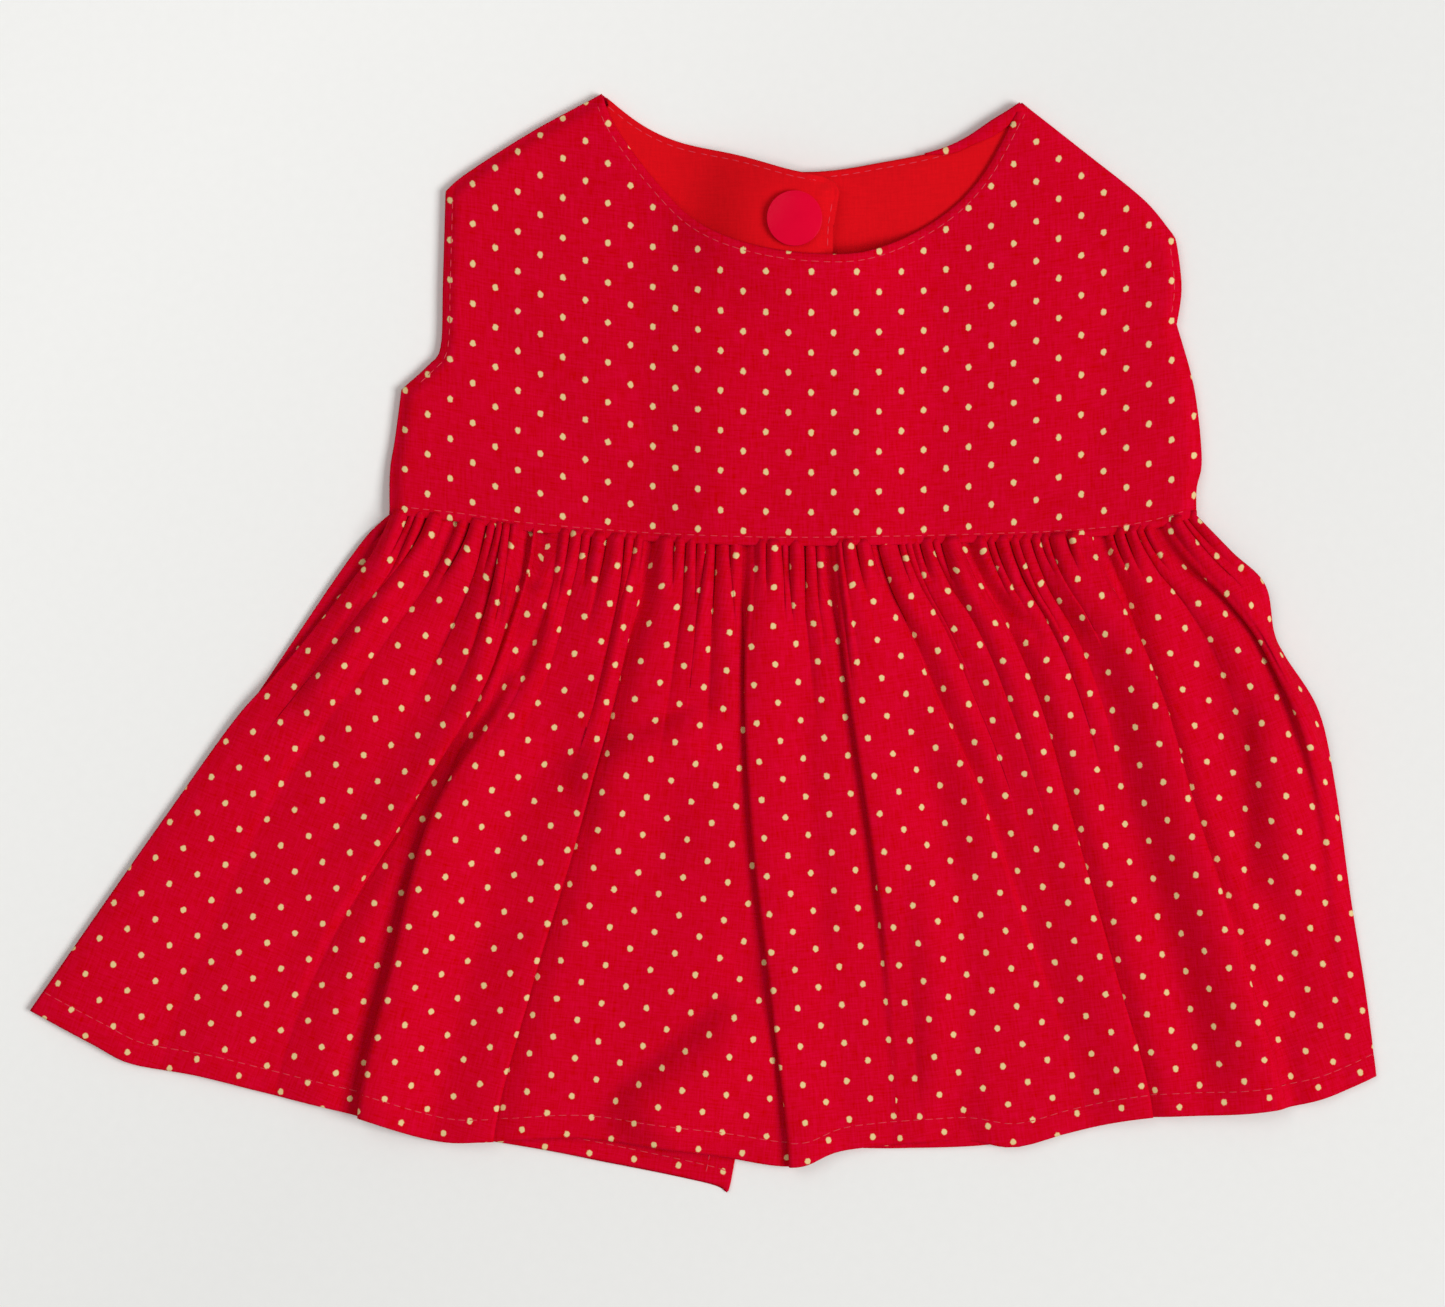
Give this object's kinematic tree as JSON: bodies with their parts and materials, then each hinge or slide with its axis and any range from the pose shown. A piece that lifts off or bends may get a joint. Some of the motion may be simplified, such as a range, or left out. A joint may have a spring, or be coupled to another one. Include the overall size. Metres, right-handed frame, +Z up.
{
  "type": "sarafan dress",
  "caption": "Small sleeveless red cotton dress with gold dots, gathered skirt and a snap at the back neck, laid flat with its front up.",
  "frame": {"origin": "middle of the bounding box, on the surface that the dress lies on", "axes": "+X to the right across the dress as seen from above, +Y from the hem to the shoulders, +Z up from the surface; the front of the dress faces +Z"},
  "size_m": [0.3039, 0.2467, 0.0103],
  "materials": {
    "dotted_cotton": "matt plain weave cotton with small printed gold dots",
    "plain_lining": "matt plain weave cotton, orange red",
    "snap_plastic": "glossy moulded plastic"
  },
  "bodies": {
    "root": {"bodice_front": "dotted_cotton", "bodice_back_left": "dotted_cotton", "bodice_back_right": "dotted_cotton", "lining_back_left": "plain_lining", "lining_back_right": "plain_lining", "skirt_front": "dotted_cotton", "skirt_back_left": "dotted_cotton", "skirt_back_right": "dotted_cotton", "snap_cap_inner": "snap_plastic", "snap_cap_outer": "snap_plastic", "snap_socket": "snap_plastic", "snap_stud": "snap_plastic"}
  },
  "joints": []
}
